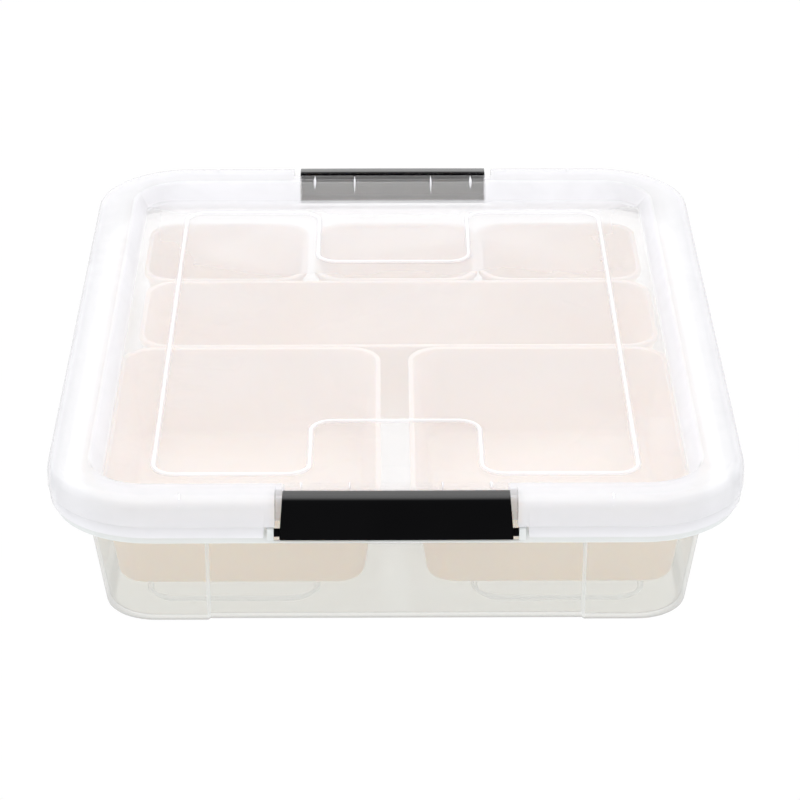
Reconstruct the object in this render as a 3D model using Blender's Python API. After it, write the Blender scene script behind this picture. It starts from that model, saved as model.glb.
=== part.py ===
"""Low clip-lid box for sorting small parts, with six loose bins.

Blender 4.5, metres, +Z up, front of the box towards -Y.  The origin is on the
resting surface, under the middle of the box.

Two clear mouldings, the tub and the lid, close on each other.  A black latch
hinges on a pair of ears at each end of the tub and wraps over the lid's edge.
The bins stand loose on the tub's floor.

Profiles are lists of (inset, height) in millimetres.  The inset is measured
inwards from the lid's widest outline, the height from the top of the lid's rim.
"""
import math

import bmesh
import bpy

MM = 0.001

# Driving dimensions, in millimetres
WIDTH = 335.0            # along X, over the lid's skirt
DEPTH = 435.0            # along Y, over the lid's skirt
RIM_TOP = 79.0           # top of the lid's rim above the surface
OUTLINE_RADIUS = 51.5    # plan radius of the lid's corners
CORNER_STEPS = 7         # facets round a corner of the tub and lid

# Tub
WALL = 1.8
WALL_SLOPE = math.radians(8.5)
WALL_CORNER = 29.5       # plan radius of the wall under the flange, tighter further down
WALL_CORNER_TIGHTENING = 0.45
FOOT_FILLET = 3.5
FOOT_INSET = 29.4        # where the flat foot ends and the fillet begins
FLANGE_TOP = -3.8
FLANGE_INNER_EDGE = 14.9     # flange edge behind a clip
APRON_OUTER = 3.3
APRON_INNER = 4.9
APRON_BOTTOM = -25.0
FLANGE_CHAMFER = 2.0
TIE_HEIGHT = 1.4         # strip of the apron that runs on under each clip
END_PANEL_HALF = 90.3    # half width of the set-back panel in each end wall
END_PANEL_SET_BACK = 1.5
END_PANEL_TOP = -17.0
END_PANEL_FADE = 3.0     # height over which the panel comes back out to the wall
PANEL_RAMP = 0.75        # half width of the panel's slanted side

# Stacking pattern: an I-shaped bead on the lid, an I-shaped recess under the tub
BEAD_HALF_X = 117.4
BEAD_FRONT = -168.0
BEAD_REAR = 172.0
NOTCH_HALF = 41.8
NOTCH_FRONT = -107.8
NOTCH_REAR = 99.0
BEAD_RADIUS = 11.0
BEAD_WIDTH = 2.0
BEAD_HEIGHT = 1.0
RECESS_CLEARANCE = 2.0   # the recess is this much wider than the bead
RECESS_DEPTH = 1.5
BEAD_STEPS = 4           # facets round a corner of the bead

# Lid
LID_SKIN = 1.7
PANEL_TOP = -11.5
CLIP_BAY_HALF = 56.9     # half width of the bay that a clip closes into
CLIP_BAY_DEPTH = 13.0
CLIP_BAY_CLEARANCE = 0.9     # from the bay's outer face to the tub's flange
DEEP_BAY_HALF = 46.5     # middle stretch of the bay, under the clip's deeper lip
BAY_BOTTOM = -14.9
EAR_NOTCH_HALF = 62.3    # the skirt is cut short over this half width, clear of the ears
EAR_NOTCH_DEPTH = 3.2

# Clip and its hinge
PIVOT_INSET = 3.4
PIVOT_HEIGHT = -19.2
CLIP_HALF = 55.0
CLIP_TOP_NARROWING = 1.6
LIP_HALF = 45.0
BARREL_RADIUS = 2.2
PIN_RADIUS = 2.0
PIN_END = 59.4
EAR_INNER = 57.6
EAR_OUTER = 61.5
EAR_REACH = 3.4          # from the pivot to the ear's edges
EAR_CHAMFER = 1.2
EAR_BORE = 2.3
CIRCLE_STEPS = 24        # facets round a pin or a bore

# Joined bodies run this far into each other, and cutters this far past what they cut
JOIN = 0.5
OVERRUN = 2.0

# Bins
BIN_FLOOR_Z = 3.6        # underside of every bin, just above the floor's raised pad
BIN_HEIGHT = 49.4
BIN_CORNER = 17.0
BIN_STEPS = 5
BINS = {
    # name: (left, right, front, rear) over the rim
    "rear_left_bin": (-140.0, -48.5, 108.2, 193.4),
    "rear_middle_bin": (-44.0, 47.5, 108.2, 193.4),
    "rear_right_bin": (48.0, 139.5, 108.2, 193.4),
    "long_bin": (-137.0, 142.0, 17.0, 107.7),
    "front_left_bin": (-144.5, -7.2, -169.0, 16.5),
    "front_right_bin": (7.2, 144.5, -169.0, 16.5),
}

CLEAR = (0.86, 0.88, 0.87, 1.0)
BEIGE = (0.84, 0.76, 0.70, 1.0)
BLACK = (0.012, 0.012, 0.014, 1.0)


# ---------------------------------------------------------------- helpers

def material(name, colour, roughness, alpha=1.0):
    """A Principled plastic."""
    mat = bpy.data.materials.new(name)
    mat.use_nodes = True
    shader = mat.node_tree.nodes["Principled BSDF"]
    shader.inputs["Base Color"].default_value = colour
    shader.inputs["Roughness"].default_value = roughness
    shader.inputs["Metallic"].default_value = 0.0
    shader.inputs["Alpha"].default_value = alpha
    mat.diffuse_color = colour
    return mat


def add_object(name, bm, location=(0.0, 0.0, 0.0), finish=None):
    """Closes a bmesh, turns its faces outwards and puts it in the scene."""
    bmesh.ops.recalc_face_normals(bm, faces=bm.faces[:])
    mesh = bpy.data.meshes.new(name)
    bm.to_mesh(mesh)
    bm.free()
    obj = bpy.data.objects.new(name, mesh)
    obj.location = location
    bpy.context.collection.objects.link(obj)
    if finish is not None:
        mesh.materials.append(finish)
    mesh.shade_smooth()
    mesh.set_sharp_from_angle(angle=math.radians(32.0))
    return obj


def arc(centre, radius, start, end, steps):
    """Points on an arc about centre, angles in degrees, both ends included."""
    points = []
    for step in range(steps + 1):
        angle = math.radians(start + (end - start) * step / steps)
        points.append((centre[0] + radius * math.cos(angle), centre[1] + radius * math.sin(angle)))
    return points


def circle(centre, radius):
    """Points round a full circle."""
    return arc(centre, radius, 0, 360, CIRCLE_STEPS)[:-1]


def rounded_rectangle(half_x, half_y, radius, steps, stations=(), set_back=0.0):
    """Counter-clockwise outline.  The two end sides carry points at the stations'
    half widths, and lie set_back further in between the innermost pair."""
    mid_x = half_x - radius
    mid_y = half_y - radius
    across = [value for value in stations] + [-value for value in reversed(stations)]

    def end_side(direction):
        side = []
        for x in across:
            inner = abs(x) < max(stations)
            side.append((direction * x, direction * (half_y - (set_back if inner else 0.0))))
        return side

    points = arc((mid_x, -mid_y), radius, -90, 0, steps)
    points += arc((mid_x, mid_y), radius, 0, 90, steps)
    points += end_side(1)
    points += arc((-mid_x, mid_y), radius, 90, 180, steps)
    points += arc((-mid_x, -mid_y), radius, 180, 270, steps)
    points += end_side(-1)
    return points


def ring_points(outline, height):
    return [(x * MM, y * MM, height * MM) for x, y in outline]


def grow_ring(bm, ring, points):
    """Extrudes a closed loop of edges and moves the new loop to the given points."""
    pairs = zip(ring, ring[1:] + ring[:1])
    edges = [bm.edges.get(pair) for pair in pairs]
    grown = bmesh.ops.extrude_edge_only(bm, edges=edges)
    fresh = {item for item in grown["geom"] if isinstance(item, bmesh.types.BMVert)}
    following = []
    for vert, point in zip(ring, points):
        partner = next(edge.other_vert(vert) for edge in vert.link_edges
                       if edge.other_vert(vert) in fresh)
        partner.co = point
        following.append(partner)
    return following


def skin_rings(rings):
    """A closed body through a stack of rings with equal numbers of points."""
    bm = bmesh.new()
    ring = [bm.verts.new(point) for point in rings[0]]
    bm.faces.new(ring)
    for points in rings[1:]:
        ring = grow_ring(bm, ring, points)
    bm.faces.new(ring)
    return bm


def prism(outline, low, high):
    """A flat outline in X and Y, extruded from low to high."""
    bm = bmesh.new()
    face = bm.faces.new([bm.verts.new((x * MM, y * MM, low * MM)) for x, y in outline])
    top = bmesh.ops.extrude_face_region(bm, geom=[face])
    verts = [item for item in top["geom"] if isinstance(item, bmesh.types.BMVert)]
    bmesh.ops.translate(bm, verts=verts, vec=(0.0, 0.0, (high - low) * MM))
    return bm


def bar(section, start, end, facing=-1):
    """A section of (inset, height) points at one end of the box, run along X.
    facing is -1 for the front end and 1 for the rear end."""
    bm = bmesh.new()
    verts = []
    for inset, height in section:
        verts.append(bm.verts.new((start * MM, *end_place(inset, height, facing))))
    face = bm.faces.new(verts)
    side = bmesh.ops.extrude_face_region(bm, geom=[face])
    moved = [item for item in side["geom"] if isinstance(item, bmesh.types.BMVert)]
    bmesh.ops.translate(bm, verts=moved, vec=((end - start) * MM, 0.0, 0.0))
    return bm


def section_box(inset, low, high=OVERRUN):
    """Section of a cutter that reaches in from outside the box to an inset."""
    return [(-OVERRUN, high), (inset, high), (inset, low), (-OVERRUN, low)]


def end_place(inset, height, facing=-1):
    """World Y and Z of a profile point at the middle of one end."""
    return facing * (DEPTH / 2 - inset) * MM, (RIM_TOP + height) * MM


def combine(obj, bm, operation):
    """Adds an exact boolean of a hidden helper body to an object."""
    helper = add_object(obj.name + "_" + operation.lower(), bm, obj.location)
    helper.hide_render = True
    helper.display_type = "WIRE"
    step = obj.modifiers.new(helper.name, "BOOLEAN")
    step.operation = operation
    step.solver = "EXACT"
    step.object = helper


# ---------------------------------------------------------------- shared shapes

def stacking_outline(grow):
    """The I of the stacking pattern, moved outwards by grow on all sides."""
    half = BEAD_HALF_X + grow
    notch = NOTCH_HALF - grow
    front, rear = BEAD_FRONT - grow, BEAD_REAR + grow
    notch_front, notch_rear = NOTCH_FRONT - grow, NOTCH_REAR + grow
    outer = BEAD_RADIUS + grow
    inner = BEAD_RADIUS - grow
    points = arc((half - outer, front + outer), outer, -90, 0, BEAD_STEPS)
    points += arc((half - outer, rear - outer), outer, 0, 90, BEAD_STEPS)
    points += arc((notch + outer, rear - outer), outer, 90, 180, BEAD_STEPS)
    points += arc((notch - inner, notch_rear + inner), inner, 0, -90, BEAD_STEPS)
    points += arc((-notch + inner, notch_rear + inner), inner, -90, -180, BEAD_STEPS)
    points += arc((-notch - outer, rear - outer), outer, 0, 90, BEAD_STEPS)
    points += arc((-half + outer, rear - outer), outer, 90, 180, BEAD_STEPS)
    points += arc((-half + outer, front + outer), outer, 180, 270, BEAD_STEPS)
    points += arc((-notch - outer, front + outer), outer, -90, 0, BEAD_STEPS)
    points += arc((-notch + inner, notch_front - inner), inner, 180, 90, BEAD_STEPS)
    points += arc((notch - inner, notch_front - inner), inner, 90, 0, BEAD_STEPS)
    points += arc((notch + outer, front + outer), outer, 180, 270, BEAD_STEPS)
    return points


def wall_inset(height, offset=0.0):
    """Inset of the tub's tapered wall at a height, offset inwards through its skin."""
    start_inset = FOOT_INSET - FOOT_FILLET * math.cos(WALL_SLOPE)
    start_height = FOOT_FILLET * (1 - math.sin(WALL_SLOPE)) - RIM_TOP
    return start_inset - (height - start_height) * math.tan(WALL_SLOPE) + offset


# ---------------------------------------------------------------- tub

def tub_profile():
    """(inset, height, set back) from the foot, up the outside, over the flange and down inside."""
    foot_centre = (FOOT_INSET, FOOT_FILLET - RIM_TOP)
    slope = math.degrees(WALL_SLOPE)
    outside = arc(foot_centre, FOOT_FILLET, 270, 180 + slope, 5)
    inside = arc(foot_centre, FOOT_FILLET - WALL, 180 + slope, 270, 5)
    skin = WALL / math.cos(WALL_SLOPE)
    panel_end = END_PANEL_TOP + END_PANEL_FADE
    under_flange = FLANGE_TOP - WALL
    profile = [(inset, height, END_PANEL_SET_BACK) for inset, height in outside]
    profile += [
        (wall_inset(END_PANEL_TOP), END_PANEL_TOP, END_PANEL_SET_BACK),
        (wall_inset(panel_end), panel_end, 0.0),
        (wall_inset(under_flange), under_flange, 0.0),
        (APRON_INNER, under_flange, 0.0),
        (APRON_INNER, APRON_BOTTOM, 0.0),
        (APRON_OUTER, APRON_BOTTOM, 0.0),
        (APRON_OUTER, FLANGE_TOP - FLANGE_CHAMFER, 0.0),
        (APRON_OUTER + FLANGE_CHAMFER, FLANGE_TOP, 0.0),
        (wall_inset(FLANGE_TOP, skin), FLANGE_TOP, 0.0),
        (wall_inset(panel_end, skin), panel_end, 0.0),
        (wall_inset(END_PANEL_TOP, skin), END_PANEL_TOP, END_PANEL_SET_BACK),
    ]
    profile += [(inset, height, END_PANEL_SET_BACK) for inset, height in inside]
    return profile


def tub_corner(inset):
    """Plan radius of the tub: it follows the lid at the flange, and is tighter on the wall."""
    if inset <= APRON_OUTER + FLANGE_CHAMFER:
        return OUTLINE_RADIUS - inset
    return WALL_CORNER - WALL_CORNER_TIGHTENING * (inset - wall_inset(FLANGE_TOP))


def make_tub(finish):
    stations = (END_PANEL_HALF + PANEL_RAMP, END_PANEL_HALF - PANEL_RAMP)
    rings = []
    for inset, height, set_back in tub_profile():
        outline = rounded_rectangle(WIDTH / 2 - inset, DEPTH / 2 - inset, tub_corner(inset),
                                    CORNER_STEPS, stations, set_back)
        rings.append(ring_points(outline, RIM_TOP + height))
    tub = add_object("tub", skin_rings(rings), finish=finish)

    pad = stacking_outline(RECESS_CLEARANCE + WALL)
    combine(tub, prism(pad, WALL / 2, WALL + RECESS_DEPTH), "UNION")
    combine(tub, prism(stacking_outline(RECESS_CLEARANCE), -OVERRUN, RECESS_DEPTH), "DIFFERENCE")

    clear_half = CLIP_BAY_HALF + LID_SKIN + CLIP_BAY_CLEARANCE
    for facing in (-1, 1):
        behind = section_box(FLANGE_INNER_EDGE, APRON_BOTTOM + TIE_HEIGHT)
        combine(tub, bar(behind, -clear_half, clear_half, facing), "DIFFERENCE")
        for side in (-1, 1):
            start, end = sorted((side * EAR_INNER, side * EAR_OUTER))
            combine(tub, bar(ear_section(), start, end, facing), "UNION")
        bore = circle((PIVOT_INSET, PIVOT_HEIGHT), EAR_BORE)
        combine(tub, bar(bore, -EAR_OUTER - OVERRUN, EAR_OUTER + OVERRUN, facing), "DIFFERENCE")
    return tub


def ear_section():
    """A lug round the hinge bore, let into the apron."""
    low, high = PIVOT_HEIGHT - EAR_REACH, PIVOT_HEIGHT + EAR_REACH
    front, back = PIVOT_INSET - EAR_REACH, PIVOT_INSET + EAR_REACH
    return [
        (front, high), (back, high), (back, low + EAR_CHAMFER), (back - EAR_CHAMFER, low),
        (front + EAR_CHAMFER, low), (front, low + EAR_CHAMFER),
    ]


# ---------------------------------------------------------------- lid

# (inset, height), from the underside of the panel out to the foot of the skirt, and back over the rim
LID_UNDERSIDE = (
    (25.2, PANEL_TOP - LID_SKIN), (23.6, -11.6), (19.7, -3.9), (18.6, -3.1), (13.0, -2.1),
    (7.5, -1.75), (5.0, -2.3), (3.4, -3.3), (2.3, -5.3), (1.7, -8.0), (2.0, -15.0), (2.7, -21.0),
)
LID_TOPSIDE = (
    (1.0, -21.0), (0.4, -15.1), (0.0, -14.7), (0.0, -8.0), (0.6, -4.5), (2.2, -1.8), (4.0, -0.6),
    (7.0, 0.0), (13.0, -0.4), (19.5, -1.5), (21.2, -2.6), (25.0, -10.0), (26.4, PANEL_TOP),
)
PLUG_START = 18.0        # inside this inset the lid's corners tighten towards the panel
PLUG_TIGHTENING = 2.2


def lid_corner(inset):
    """Plan radius of the lid: concentric over the rim, tighter down the plug to the panel."""
    concentric = OUTLINE_RADIUS - inset
    return concentric - max(0.0, inset - PLUG_START) * (PLUG_TIGHTENING - 1.0)


def stacking_bead():
    """The raised I-shaped bead, as a strip with a chamfered top."""
    bm = bmesh.new()
    base = RIM_TOP + PANEL_TOP
    half = BEAD_WIDTH / 2
    section = ((half, base - JOIN), (half, base + BEAD_HEIGHT * 0.4), (half * 0.4, base + BEAD_HEIGHT),
               (-half * 0.4, base + BEAD_HEIGHT), (-half, base + BEAD_HEIGHT * 0.4), (-half, base - JOIN))
    first = [bm.verts.new(point) for point in ring_points(stacking_outline(section[0][0]), section[0][1])]
    for one, two in zip(first, first[1:] + first[:1]):
        bm.edges.new((one, two))
    ring = first
    for grow, height in section[1:]:
        ring = grow_ring(bm, ring, ring_points(stacking_outline(grow), height))
    for index in range(len(first)):
        following = (index + 1) % len(first)
        bm.faces.new((first[index], first[following], ring[following], ring[index]))
    return bm


# The bay that takes a clip, seen in section.  The sloping face is what the clip's hook holds.
BAY_SIDE = (
    (13.3, -0.5), (12.4, -0.9), (11.6, -3.9), (9.6, -3.9), (7.0, -10.2), (7.0, BAY_BOTTOM),
    (8.7, BAY_BOTTOM), (8.7, -10.5), (10.7, -5.6), (13.0, -5.6), (13.9, -2.2),
)
BAY_MIDDLE = (
    (13.3, -0.5), (12.4, -0.9), (11.3, -5.9), (9.5, -5.9), (7.7, -10.2), (7.7, BAY_BOTTOM),
    (9.4, BAY_BOTTOM), (9.4, -10.6), (10.6, -7.6), (12.8, -7.6), (14.1, -2.2),
)
BAY_STEP = BAY_SIDE[:6] + BAY_MIDDLE[6:]
BAY_END = (
    (0.1, BAY_BOTTOM), (0.1, -8.0), (0.7, -4.55), (2.3, -1.9), (4.0, -0.7), (7.0, -0.1),
    (13.3, -0.5), (13.9, -2.2), (13.0, -5.6), (8.7, -10.5), (8.7, BAY_BOTTOM),
)


def make_clip_bay(lid, facing):
    """Cuts the rim away where a clip closes and lines the opening with a stepped wall."""
    outer_half = CLIP_BAY_HALF + LID_SKIN
    opening = section_box(CLIP_BAY_DEPTH, APRON_BOTTOM)
    combine(lid, bar(opening, -outer_half, outer_half, facing), "DIFFERENCE")
    combine(lid, bar(BAY_MIDDLE, -DEEP_BAY_HALF - JOIN, DEEP_BAY_HALF + JOIN, facing), "UNION")
    for side in (-1, 1):
        spans = (
            (BAY_STEP, DEEP_BAY_HALF, DEEP_BAY_HALF + LID_SKIN),
            (BAY_SIDE, DEEP_BAY_HALF + LID_SKIN - JOIN, outer_half - JOIN),
            (BAY_END, CLIP_BAY_HALF, outer_half + JOIN),
        )
        for section, inner, outer in spans:
            start, end = sorted((side * inner, side * outer))
            combine(lid, bar(section, start, end, facing), "UNION")
    notch = section_box(EAR_NOTCH_DEPTH, APRON_BOTTOM, BAY_BOTTOM)
    combine(lid, bar(notch, -EAR_NOTCH_HALF, EAR_NOTCH_HALF, facing), "DIFFERENCE")


def make_lid(finish):
    rings = []
    for inset, height in LID_UNDERSIDE + LID_TOPSIDE:
        outline = rounded_rectangle(WIDTH / 2 - inset, DEPTH / 2 - inset, lid_corner(inset),
                                    CORNER_STEPS, (CLIP_BAY_HALF + 20.0,))
        rings.append(ring_points(outline, RIM_TOP + height))
    lid = add_object("lid", skin_rings(rings), finish=finish)
    combine(lid, stacking_bead(), "UNION")
    for facing in (-1, 1):
        make_clip_bay(lid, facing)
    return lid


# ---------------------------------------------------------------- clips

def clip_section():
    """Plate, rounded shoulder, hook and hinge barrel."""
    barrel = arc((PIVOT_INSET, PIVOT_HEIGHT), BARREL_RADIUS, 135, -90, 9)
    return [
        (0.0, -21.4), (0.0, -5.0), (0.35, -3.0), (1.3, -1.35), (3.0, -0.5), (9.0, 0.0),
        (9.3, -0.3), (9.25, -3.6), (7.65, -7.5), (6.3, -7.5), (6.0, -2.0), (3.6, -2.3),
        (2.2, -3.6), (2.0, -5.2), (2.0, -17.0),
    ] + barrel[1:]


CLIP_LIP = ((7.0, -1.0), (9.28, -1.0), (9.25, -5.4), (8.35, -7.55), (7.0, -7.45))


def place_about_pivot(bm, facing=-1):
    """Moves a bar made in the box's frame so that the hinge axis runs through the origin."""
    pivot_y, pivot_z = end_place(PIVOT_INSET, PIVOT_HEIGHT, facing)
    bmesh.ops.translate(bm, verts=bm.verts[:], vec=(0.0, -pivot_y, -pivot_z))
    return bm


def narrow_towards_top(bm):
    """The clip's ends lean in slightly towards its top."""
    height = -PIVOT_HEIGHT * MM
    for vert in bm.verts:
        share = max(0.0, vert.co.z) / height
        vert.co.x *= 1.0 - share * CLIP_TOP_NARROWING / CLIP_HALF
    return bm


def make_clip(name, finish, facing):
    """The latch with its two moulded hinge pins.  The rear one is the same moulding turned round."""
    plate = narrow_towards_top(place_about_pivot(bar(clip_section(), -CLIP_HALF, CLIP_HALF)))
    clip = add_object(name, plate, finish=finish)
    pivot_y, pivot_z = end_place(PIVOT_INSET, PIVOT_HEIGHT, facing)
    lip = place_about_pivot(bar(CLIP_LIP, -LIP_HALF, LIP_HALF))
    combine(clip, lip, "UNION")
    pin_circle = circle((PIVOT_INSET, PIVOT_HEIGHT), PIN_RADIUS)
    for side in (-1, 1):
        start, end = sorted((side * (CLIP_HALF - OVERRUN), side * PIN_END))
        combine(clip, place_about_pivot(bar(pin_circle, start, end)), "UNION")
    for obj in [clip] + [step.object for step in clip.modifiers]:
        obj.location = (0.0, pivot_y, pivot_z)
        obj.rotation_euler.z = 0.0 if facing < 0 else math.pi
    return clip


# ---------------------------------------------------------------- bins

# (inset from the rim, height above the bin's underside)
BIN_PROFILE = (
    (14.6, 0.0), (10.9, 0.8), (8.7, 3.0), (7.6, 7.0), (1.6, 46.2), (0.0, 46.6), (0.0, 49.0),
    (0.4, BIN_HEIGHT), (2.5, BIN_HEIGHT), (2.9, 48.9), (8.9, 7.6), (9.9, 4.2), (11.8, 2.1), (15.0, 1.3),
)


def make_bin(name, finish):
    left, right, front, rear = BINS[name]
    rings = []
    for inset, height in BIN_PROFILE:
        outline = rounded_rectangle((right - left) / 2 - inset, (rear - front) / 2 - inset,
                                    BIN_CORNER - 0.5 * inset, BIN_STEPS, ((right - left) / 6,))
        rings.append(ring_points(outline, height))
    middle = ((left + right) / 2 * MM, (front + rear) / 2 * MM, BIN_FLOOR_Z * MM)
    return add_object(name, skin_rings(rings), middle, finish)


# ---------------------------------------------------------------- assembly

for old in list(bpy.data.objects):
    bpy.data.objects.remove(old, do_unlink=True)

make_tub(material("tub_clear_plastic", CLEAR, 0.25, 0.45))
make_lid(material("lid_clear_plastic", CLEAR, 0.25, 0.45))
make_clip("front_clip", material("front_clip_black_plastic", BLACK, 0.35), -1)
make_clip("rear_clip", material("rear_clip_black_plastic", BLACK, 0.35), 1)
for bin_name in BINS:
    make_bin(bin_name, material(bin_name + "_plastic", BEIGE, 0.4))
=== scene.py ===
"""A low clear box with a clip-on lid and six loose beige bins, for sorting small parts.

The sizes are in millimetres.  A section of the tub, the lid or a clip is a list of corners
(inset, height, fillet): the inset is measured inwards from the widest line of the lid, the
height from the top of the lid's rim.
"""
import math

import bmesh
import bpy
import numpy as np
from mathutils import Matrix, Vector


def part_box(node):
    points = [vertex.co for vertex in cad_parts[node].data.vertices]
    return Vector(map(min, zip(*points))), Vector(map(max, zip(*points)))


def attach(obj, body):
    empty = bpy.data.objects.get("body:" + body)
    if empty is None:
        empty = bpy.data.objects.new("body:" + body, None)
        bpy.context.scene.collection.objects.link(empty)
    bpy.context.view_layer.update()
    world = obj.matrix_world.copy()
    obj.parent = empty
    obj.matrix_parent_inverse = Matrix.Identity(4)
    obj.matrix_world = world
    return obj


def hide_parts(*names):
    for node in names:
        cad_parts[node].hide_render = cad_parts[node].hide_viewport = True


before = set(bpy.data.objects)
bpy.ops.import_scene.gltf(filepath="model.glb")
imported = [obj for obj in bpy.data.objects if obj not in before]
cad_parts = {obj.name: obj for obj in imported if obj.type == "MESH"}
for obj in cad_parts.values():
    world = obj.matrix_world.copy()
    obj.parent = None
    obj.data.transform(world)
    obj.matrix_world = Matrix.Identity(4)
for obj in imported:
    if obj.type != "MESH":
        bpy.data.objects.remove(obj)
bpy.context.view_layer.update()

# ------------------------------------------------------------------ table, light and camera
# A white table and a bright white room that is a little dimmer in front, with one large soft
# lamp overhead, so that nothing throws a shadow.  The camera looks down at the front of the
# box with a long lens.

TABLE_SIZE = 12.0
TABLE_GAP = 0.0002           # below the box, so that the two faces don't fight
TABLE_SHOWN = 1.005          # the table's white as the camera sees it
TABLE_GIVEN = 1.05           # the light it gives back to the box
ROOM_FRONT, ROOM_TOP = 1.00, 1.40
ROOM_RISE = (0.0, 0.45, 0.89)        # the direction in which the room grows brighter
LAMP_POWER = 5.0
LAMP_SIZE = 1.6
LAMP_PLACE = (-0.35, 0.55, 1.9)
LAMP_TILT = (-0.28, -0.18, 0.0)
LENS = 150.7
CAMERA_PLACE = (-0.007, -1.6159, 0.7775)
CAMERA_PITCH = math.radians(24.85)
CAMERA_TURN = 0.0062


def shader_input(node, name, value):
    """Sets a shader's socket to a plain value."""
    node.inputs[name].default_value = value


def make_table():
    """A large flat glowing sheet just under the box, so that the box throws no shadow."""
    bpy.ops.mesh.primitive_plane_add(size=TABLE_SIZE, location=(0.0, 0.0, -TABLE_GAP))
    table = bpy.context.object
    table.name = "table"
    finish = bpy.data.materials.new("table_white")
    finish.use_nodes = True
    nodes, links = finish.node_tree.nodes, finish.node_tree.links
    nodes.clear()
    output = nodes.new("ShaderNodeOutputMaterial")
    glow = nodes.new("ShaderNodeEmission")
    seen_by = nodes.new("ShaderNodeLightPath")
    strength = nodes.new("ShaderNodeMapRange")
    shader_input(strength, "To Min", TABLE_GIVEN)
    shader_input(strength, "To Max", TABLE_SHOWN)
    links.new(seen_by.outputs["Is Camera Ray"], strength.inputs["Value"])
    links.new(strength.outputs["Result"], glow.inputs["Strength"])
    links.new(glow.outputs["Emission"], output.inputs["Surface"])
    table.data.materials.append(finish)


def make_room_light():
    """A room whose light grows from the front towards the top and back, and a square soft lamp."""
    world = bpy.data.worlds.new("white_room")
    world.use_nodes = True
    nodes, links = world.node_tree.nodes, world.node_tree.links
    direction = nodes.new("ShaderNodeTexCoord")
    height = nodes.new("ShaderNodeVectorMath")
    height.operation = "DOT_PRODUCT"
    height.inputs[1].default_value = ROOM_RISE
    strength = nodes.new("ShaderNodeMapRange")
    strength.interpolation_type = "SMOOTHSTEP"
    shader_input(strength, "From Min", -0.5)
    shader_input(strength, "From Max", 0.9)
    shader_input(strength, "To Min", ROOM_FRONT)
    shader_input(strength, "To Max", ROOM_TOP)
    links.new(direction.outputs["Generated"], height.inputs[0])
    links.new(height.outputs["Value"], strength.inputs["Value"])
    links.new(strength.outputs["Result"], nodes["Background"].inputs["Strength"])
    nodes["Background"].inputs["Color"].default_value = (1.0, 1.0, 1.0, 1.0)
    bpy.context.scene.world = world
    lamp = bpy.data.lights.new("overhead_softbox", "AREA")
    lamp.shape = "SQUARE"
    lamp.size = LAMP_SIZE
    lamp.energy = LAMP_POWER
    holder = bpy.data.objects.new("overhead_softbox", lamp)
    holder.location = LAMP_PLACE
    holder.rotation_euler = LAMP_TILT
    bpy.context.collection.objects.link(holder)


def make_camera():
    """A long lens that looks down at the front."""
    camera = bpy.data.objects.new("camera", bpy.data.cameras.new("camera"))
    camera.data.lens = LENS
    camera.data.sensor_width = 36.0
    camera.data.clip_end = 50.0
    camera.location = CAMERA_PLACE
    camera.rotation_euler = (math.pi / 2 - CAMERA_PITCH, 0.0, -CAMERA_TURN)
    bpy.context.collection.objects.link(camera)
    bpy.context.scene.camera = camera


make_table()
make_room_light()
make_camera()
bpy.context.scene.view_settings.view_transform = "Standard"
bpy.context.scene.cycles.transparent_max_bounces = 32

# ------------------------------------------------------------------ tub
# The clear bottom moulding, in milky polypropylene.  Its tapered wall is 1.8 mm thick and turns
# out into a flange with a hanging apron.  The floor is raised inside an I-shaped outline, and
# the same outline is sunk into the underside, where it clears the bead of a lid below.

MM = 0.001
box_low, box_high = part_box("lid")
WIDTH = (box_high[0] - box_low[0]) / MM
DEPTH = (box_high[1] - box_low[1]) / MM
RIM_TOP = box_high[2] / MM
ARC_STEPS = 12
FILLET_STEPS = 4

OUTLINE_RADIUS = 51.5                # of the widest line, in plan
TUB_WALL = 1.8
WALL_LEAN = math.tan(math.radians(8.5))
WALL_AT_TABLE = 26.4                 # inset at which the line of the wall meets the table
WALL_CORNER = 29.5                   # plan radius of the wall under the flange
FOOT_FILLET = 3.5
FLANGE_TOP, FLANGE_UNDER = -3.8, -5.6
APRON_OUTER, APRON_INNER = 3.3, 4.9
APRON_BOTTOM = -25.0
STRIP_HEIGHT = 1.4                   # of the apron that runs on under each clip
END_PANEL_HALF = 90.3                # the set-back panel in each end wall
END_PANEL_DEPTH = 1.5
END_RAMP = (-17.0, -14.0)            # heights between which the panel comes back out
BAY_CUT_HALF = 59.3                  # the flange is cut back behind each clip
BAY_CUT_EDGE = 14.9
EAR_START = 57.6
EAR_REACH = 3.4
EAR_BORE = 2.3
PIVOT = (3.4, -19.2)


def unit(vectors):
    """Each vector divided by its length."""
    return vectors / np.maximum(np.linalg.norm(vectors, axis=-1, keepdims=True), 1e-12)


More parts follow.
